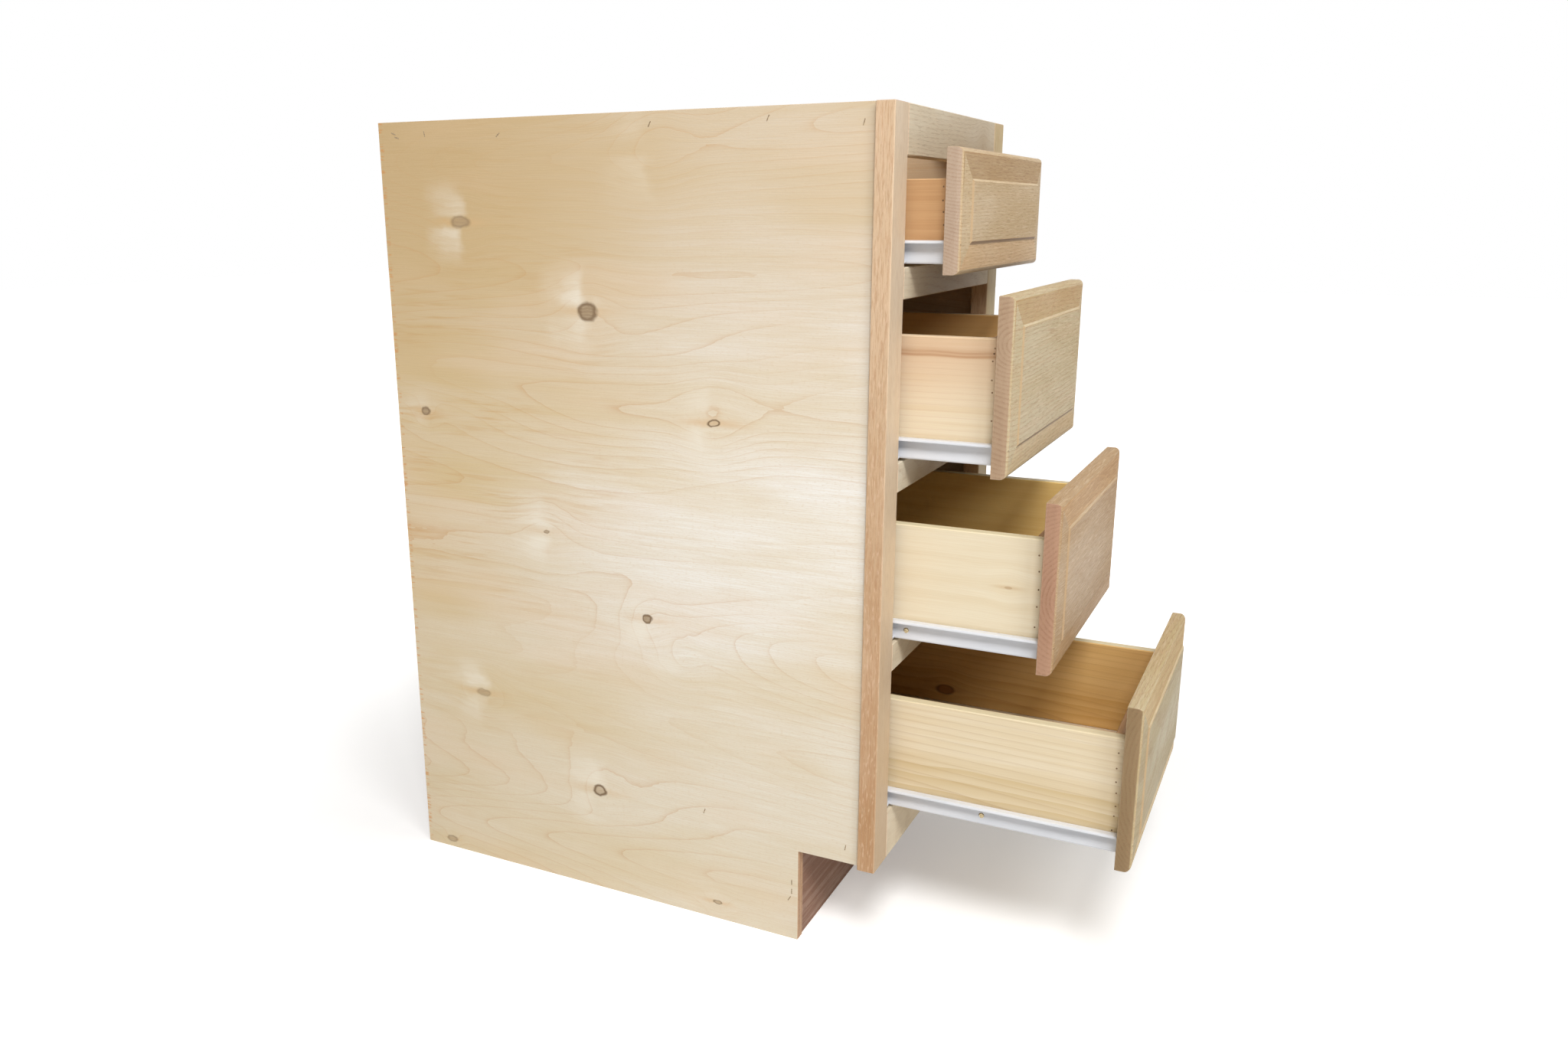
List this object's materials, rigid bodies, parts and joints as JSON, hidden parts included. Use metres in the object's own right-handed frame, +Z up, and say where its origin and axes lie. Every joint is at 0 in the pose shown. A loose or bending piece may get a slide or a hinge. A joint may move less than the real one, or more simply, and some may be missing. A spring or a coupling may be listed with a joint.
{
  "type": "drawer base cabinet",
  "caption": "Unfinished wooden kitchen base cabinet with a face frame, a toe kick and a stack of drawers on steel roller runners.",
  "frame": {"origin": "on the floor, at the middle of the cabinet's width, at the face of the back panel that meets the wall", "axes": "+X to the right of someone facing the cabinet, +Y towards the wall, so the drawers open along -Y, +Z up"},
  "size_m": [0.381, 0.8583, 0.8765],
  "materials": {
    "birch_plywood": "sanded and unfinished",
    "oak": "sanded and unfinished",
    "drawer_wood": "planed and unfinished",
    "hardboard": "smooth and unfinished",
    "toe_board_wood": "sanded and unfinished",
    "white_steel": "white epoxy coat"
  },
  "bodies": {
    "carcass": {"left_side_panel": "birch_plywood", "right_side_panel": "birch_plywood", "cabinet_floor": "birch_plywood", "back_panel": "hardboard", "toe_kick_board": "toe_board_wood", "hanging_rail": "drawer_wood", "left_stile": "oak", "right_stile": "oak", "top_rail": "oak", "upper_drawer_rail": "oak", "middle_drawer_rail": "oak", "lower_drawer_rail": "oak", "bottom_rail": "oak", "left_rear_post": "drawer_wood", "right_rear_post": "drawer_wood", "left_front_corner_block": "birch_plywood", "right_front_corner_block": "birch_plywood", "left_rear_corner_block": "birch_plywood", "right_rear_corner_block": "birch_plywood", "left_cabinet_runner_1": "white_steel", "right_cabinet_runner_1": "white_steel", "left_cabinet_runner_2": "white_steel", "right_cabinet_runner_2": "white_steel", "left_cabinet_runner_3": "white_steel", "right_cabinet_runner_3": "white_steel", "left_cabinet_runner_4": "white_steel", "right_cabinet_runner_4": "white_steel"},
    "drawer_1": {"drawer_1_front": "oak", "drawer_1_box_front": "drawer_wood", "drawer_1_box_back": "drawer_wood", "drawer_1_left_side": "drawer_wood", "drawer_1_right_side": "drawer_wood", "drawer_1_bottom": "drawer_wood", "drawer_1_left_runner": "white_steel", "drawer_1_right_runner": "white_steel"},
    "drawer_2": {"drawer_2_front": "oak", "drawer_2_box_front": "drawer_wood", "drawer_2_box_back": "drawer_wood", "drawer_2_left_side": "drawer_wood", "drawer_2_right_side": "drawer_wood", "drawer_2_bottom": "drawer_wood", "drawer_2_left_runner": "white_steel", "drawer_2_right_runner": "white_steel"},
    "drawer_3": {"drawer_3_front": "oak", "drawer_3_box_front": "drawer_wood", "drawer_3_box_back": "drawer_wood", "drawer_3_left_side": "drawer_wood", "drawer_3_right_side": "drawer_wood", "drawer_3_bottom": "drawer_wood", "drawer_3_left_runner": "white_steel", "drawer_3_right_runner": "white_steel"},
    "drawer_4": {"drawer_4_front": "oak", "drawer_4_box_front": "drawer_wood", "drawer_4_box_back": "drawer_wood", "drawer_4_left_side": "drawer_wood", "drawer_4_right_side": "drawer_wood", "drawer_4_bottom": "drawer_wood", "drawer_4_left_runner": "white_steel", "drawer_4_right_runner": "white_steel"}
  },
  "joints": [
    {"name": "drawer_1_slide", "type": "slide", "parent": "carcass", "child": "drawer_1", "axis": [0, -1, 0], "range_m": [-0.0385, 0.38]},
    {"name": "drawer_2_slide", "type": "slide", "parent": "carcass", "child": "drawer_2", "axis": [0, -1, 0], "range_m": [-0.093, 0.3255]},
    {"name": "drawer_3_slide", "type": "slide", "parent": "carcass", "child": "drawer_3", "axis": [0, -1, 0], "range_m": [-0.1475, 0.271]},
    {"name": "drawer_4_slide", "type": "slide", "parent": "carcass", "child": "drawer_4", "axis": [0, -1, 0], "range_m": [-0.2355, 0.183]}
  ]
}
